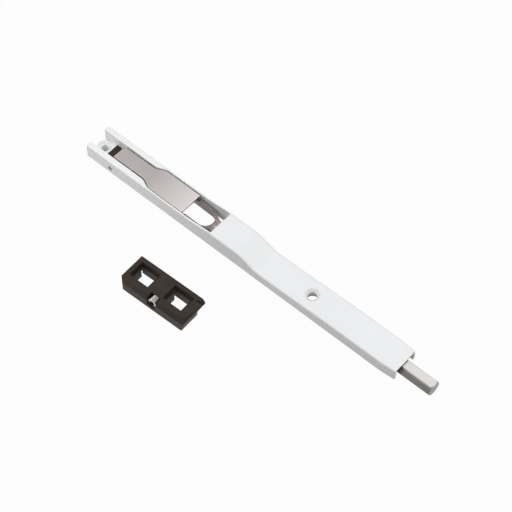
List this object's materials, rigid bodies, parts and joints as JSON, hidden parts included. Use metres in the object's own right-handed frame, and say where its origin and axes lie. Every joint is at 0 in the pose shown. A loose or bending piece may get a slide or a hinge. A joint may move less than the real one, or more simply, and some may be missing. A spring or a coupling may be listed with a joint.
{
  "type": "flush bolt",
  "caption": "Lever-operated flush bolt: a slim white channel with a flip lever, a linked slide and a hexagonal rod, with a separate black keeper.",
  "frame": {"origin": "axis of the end fixing hole, level with the backs of the side walls", "axes": "+X along the bolt from the lever towards the rod, +Z out of the face, +Y to the side away from the keeper"},
  "size_m": [0.236, 0.0674, 0.0142],
  "materials": {
    "white_paint": "smooth white powder coat",
    "satin_nickel": "satin nickel plate",
    "satin_rod": "drawn bright bar",
    "bright_steel": "bright plated",
    "dark_steel": "dark phosphated steel",
    "zinc_steel": "zinc plated steel",
    "black_plastic": "moulded nylon",
    "pale_plastic": "natural acetal"
  },
  "bodies": {
    "housing_body": {"housing": "white_paint", "cover": "white_paint", "tail_stop": "black_plastic", "pivot_pin": "bright_steel", "pivot_washers": "pale_plastic", "nose_guide": "black_plastic", "slide_guide": "black_plastic", "detent_spring": "zinc_steel"},
    "lever_body": {"lever": "satin_nickel"},
    "rod_body": {"slide": "zinc_steel", "link_pin": "bright_steel", "link_clip": "dark_steel", "rod": "satin_rod", "rod_pin": "bright_steel"},
    "yoke_body": {"yoke": "dark_steel", "crank_pin": "bright_steel"},
    "keeper_body": {"keeper": "black_plastic"},
    "set_screw_body": {"keeper_screw": "bright_steel"}
  },
  "joints": [
    {"name": "lever_swing", "type": "hinge", "parent": "housing_body", "child": "lever_body", "pos_m": [0.0135, 0, 0.0046], "axis": [0, -1, 0], "range_deg": [0, 100]},
    {"name": "rod_slide", "type": "slide", "parent": "housing_body", "child": "rod_body", "axis": [1, 0, 0], "range_m": [-0.0198, 0]},
    {"name": "yoke_tilt", "type": "hinge", "parent": "rod_body", "child": "yoke_body", "pos_m": [0.104, 0, 0.0015], "axis": [0, 1, 0], "range_deg": [0, 11.4]},
    {"name": "keeper_lift", "type": "slide", "parent": "housing_body", "child": "keeper_body", "axis": [0, 0, 1], "range_m": [0, 0.05]},
    {"name": "set_screw_feed", "type": "slide", "parent": "keeper_body", "child": "set_screw_body", "axis": [-0.0349, 0.9994, 0], "range_m": [0, 0.002]}
  ],
  "couplings": [
    {"joint": "rod_slide", "follows": "lever_swing", "m_per_rad": -0.011279},
    {"joint": "yoke_tilt", "follows": "lever_swing", "ratio": 0.1133}
  ]
}
